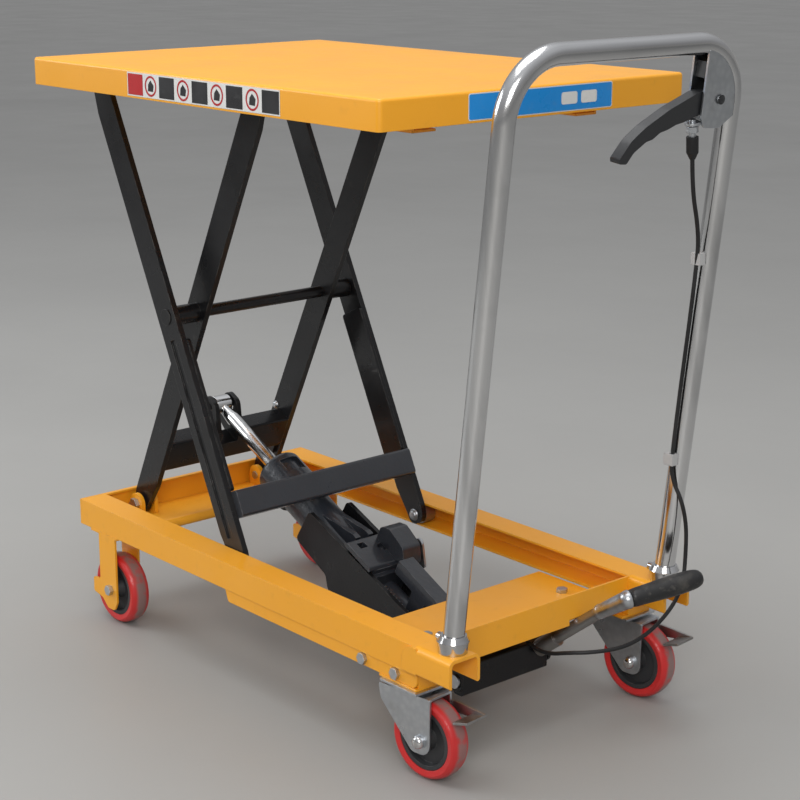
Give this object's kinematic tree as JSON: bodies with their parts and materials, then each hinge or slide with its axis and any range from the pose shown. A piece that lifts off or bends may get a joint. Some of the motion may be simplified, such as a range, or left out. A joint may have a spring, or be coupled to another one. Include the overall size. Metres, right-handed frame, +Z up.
{
  "type": "scissor lift table",
  "caption": "Mobile hydraulic scissor lift table with a raised deck, foot pump, push handle, release lever and braked casters.",
  "frame": {"origin": "on the floor under the middle of the machine's bounding box", "axes": "+X towards the push handle, +Y to the machine's right side when it is pushed from the handle (the side with the release lever), +Z up"},
  "size_m": [0.8513, 0.48, 0.8448],
  "materials": {
    "orange_paint": "gloss",
    "black_paint": "satin",
    "handle_chrome": "polished",
    "rod_chrome": "polished",
    "zinc": "zinc plated",
    "cast_black": "painted casting",
    "tread_red": "moulded polyurethane",
    "hub_grey": "dark casting",
    "black_rubber": "matte",
    "black_plastic": "matte",
    "steel": "plain",
    "grey_plastic": "matte"
  },
  "bodies": {
    "base_frame": {"base_rail_left": "orange_paint", "base_rail_right": "orange_paint", "front_cross_channel": "orange_paint", "arm_hinge_ears": "orange_paint", "rear_cross_member": "orange_paint", "handle_socket_left": "orange_paint", "handle_socket_right": "orange_paint", "caster_mounts": "orange_paint", "rear_brackets": "black_paint", "frame_fasteners": "zinc", "push_handle": "handle_chrome", "handle_collars": "handle_chrome", "lever_housing": "zinc", "cable_adjuster": "zinc", "cable_boot": "black_rubber", "release_cable": "black_rubber", "cable_clips": "grey_plastic", "front_bracket_left": "orange_paint", "front_bracket_right": "orange_paint", "front_axles": "zinc", "caster_tops": "zinc"},
    "release_lever": {"release_lever": "black_plastic"},
    "inner_arms": {"inner_arm_left": "black_paint", "inner_arm_right": "black_paint", "inner_cross_channel": "black_paint", "scissor_shaft": "black_paint"},
    "outer_arms": {"outer_arm_left": "black_paint", "outer_arm_right": "black_paint", "outer_cross_beam": "black_paint"},
    "deck": {"deck_tray": "orange_paint", "deck_underframe": "orange_paint"},
    "lower_rollers": {"lower_rollers": "steel"},
    "upper_rollers": {"upper_rollers": "steel"},
    "pump_unit": {"pump_cheeks": "black_paint", "cylinder_barrel": "cast_black", "barrel_head": "cast_black", "pump_block": "cast_black", "valve_block": "cast_black", "return_spring": "zinc"},
    "valve_lever": {"valve_lever": "zinc"},
    "pump_plunger": {"pump_plunger": "zinc"},
    "cylinder_rod": {"cylinder_rod": "rod_chrome", "rod_pin": "steel"},
    "foot_pedal": {"pedal_bar": "black_paint", "pedal_tube": "steel", "pedal_cap": "handle_chrome", "pedal_grip": "black_rubber"},
    "front_wheel_left": {"front_tyre_left": "tread_red", "front_hub_left": "hub_grey"},
    "front_wheel_right": {"front_tyre_right": "tread_red", "front_hub_right": "hub_grey"},
    "caster_left": {"caster_fork_left": "zinc"},
    "caster_wheel_left": {"caster_tyre_left": "tread_red", "caster_hub_left": "hub_grey"},
    "caster_brake_left": {"caster_brake_left": "zinc"},
    "caster_right": {"caster_fork_right": "zinc"},
    "caster_wheel_right": {"caster_tyre_right": "tread_red", "caster_hub_right": "hub_grey"},
    "caster_brake_right": {"caster_brake_right": "zinc"}
  },
  "joints": [
    {"name": "fold", "type": "hinge", "parent": "base_frame", "child": "inner_arms", "pos_m": [-0.4, 0, 0.148], "axis": [0, 1, 0], "range_deg": [0, 54.37]},
    {"name": "scissor_pivot", "type": "hinge", "parent": "inner_arms", "child": "outer_arms", "pos_m": [-0.25123, 0, 0.4515], "axis": [0, 1, 0], "range_deg": [-108.74, 0]},
    {"name": "deck_pivot", "type": "hinge", "parent": "outer_arms", "child": "deck", "pos_m": [-0.4, 0, 0.755], "axis": [0, 1, 0], "range_deg": [0, 54.38]},
    {"name": "pump_pivot", "type": "hinge", "parent": "base_frame", "child": "pump_unit", "pos_m": [0.112, 0, 0.054], "axis": [0, 1, 0], "range_deg": [-6.12, 0]},
    {"name": "rod_slide", "type": "slide", "parent": "pump_unit", "child": "cylinder_rod", "axis": [-0.8979, 0, 0.4402], "range_m": [-0.12077, 0]},
    {"name": "lower_roller_spin", "type": "hinge", "parent": "outer_arms", "child": "lower_rollers", "pos_m": [-0.10247, 0, 0.148], "axis": [0, 1, 0], "continuous": true},
    {"name": "upper_roller_spin", "type": "hinge", "parent": "inner_arms", "child": "upper_rollers", "pos_m": [-0.10247, 0, 0.755], "axis": [0, 1, 0], "continuous": true},
    {"name": "lever_squeeze", "type": "hinge", "parent": "base_frame", "child": "release_lever", "pos_m": [0.40751, 0.146, 0.77072], "axis": [-0.993, 0, 0.1184], "range_deg": [0, 20], "stiffness_Nm_per_rad": 1.5, "springref_deg": -22.92},
    {"name": "valve_crank", "type": "hinge", "parent": "pump_unit", "child": "valve_lever", "pos_m": [0.0226, 0.047, 0.16243], "axis": [0, 1, 0], "range_deg": [0, 25], "stiffness_Nm_per_rad": 0.02, "springref_deg": -22.92},
    {"name": "pedal_press", "type": "hinge", "parent": "base_frame", "child": "foot_pedal", "pos_m": [0.232, 0, 0.0695], "axis": [0, 1, 0], "range_deg": [0, 12], "stiffness_Nm_per_rad": 12, "springref_deg": -14.32},
    {"name": "plunger_stroke", "type": "slide", "parent": "pump_unit", "child": "pump_plunger", "axis": [0.4402, 0, 0.8979], "range_m": [0, 0.0112]},
    {"name": "front_wheel_spin_left", "type": "hinge", "parent": "base_frame", "child": "front_wheel_left", "pos_m": [-0.351, -0.178, 0.05], "axis": [0, 1, 0], "continuous": true},
    {"name": "caster_swivel_left", "type": "hinge", "parent": "base_frame", "child": "caster_left", "pos_m": [0.27, -0.178, 0.105], "axis": [0, 0, 1], "continuous": true},
    {"name": "caster_wheel_spin_left", "type": "hinge", "parent": "caster_left", "child": "caster_wheel_left", "pos_m": [0.29785, -0.17507, 0.05], "axis": [-0.1045, 0.9945, 0], "continuous": true},
    {"name": "caster_brake_press_left", "type": "hinge", "parent": "caster_left", "child": "caster_brake_left", "pos_m": [0.30779, -0.17403, 0.086], "axis": [-0.1045, 0.9945, 0], "range_deg": [0, 6], "stiffness_Nm_per_rad": 0.3, "springref_deg": -17.19},
    {"name": "front_wheel_spin_right", "type": "hinge", "parent": "base_frame", "child": "front_wheel_right", "pos_m": [-0.351, 0.178, 0.05], "axis": [0, 1, 0], "continuous": true},
    {"name": "caster_swivel_right", "type": "hinge", "parent": "base_frame", "child": "caster_right", "pos_m": [0.27, 0.178, 0.105], "axis": [0, 0, 1], "continuous": true},
    {"name": "caster_wheel_spin_right", "type": "hinge", "parent": "caster_right", "child": "caster_wheel_right", "pos_m": [0.29785, 0.18093, 0.05], "axis": [-0.1045, 0.9945, 0], "continuous": true},
    {"name": "caster_brake_press_right", "type": "hinge", "parent": "caster_right", "child": "caster_brake_right", "pos_m": [0.30779, 0.18197, 0.086], "axis": [-0.1045, 0.9945, 0], "range_deg": [0, 6], "stiffness_Nm_per_rad": 0.3, "springref_deg": -17.19}
  ],
  "couplings": [
    {"joint": "scissor_pivot", "follows": "fold", "ratio": -2},
    {"joint": "deck_pivot", "follows": "fold", "ratio": 1},
    {"joint": "pump_pivot", "follows": "fold", "ratio": -0.11236},
    {"joint": "rod_slide", "follows": "fold", "m_per_rad": -0.12717},
    {"joint": "valve_crank", "follows": "lever_squeeze", "ratio": 1.2},
    {"joint": "plunger_stroke", "follows": "pedal_press", "m_per_rad": 0.052521}
  ]
}
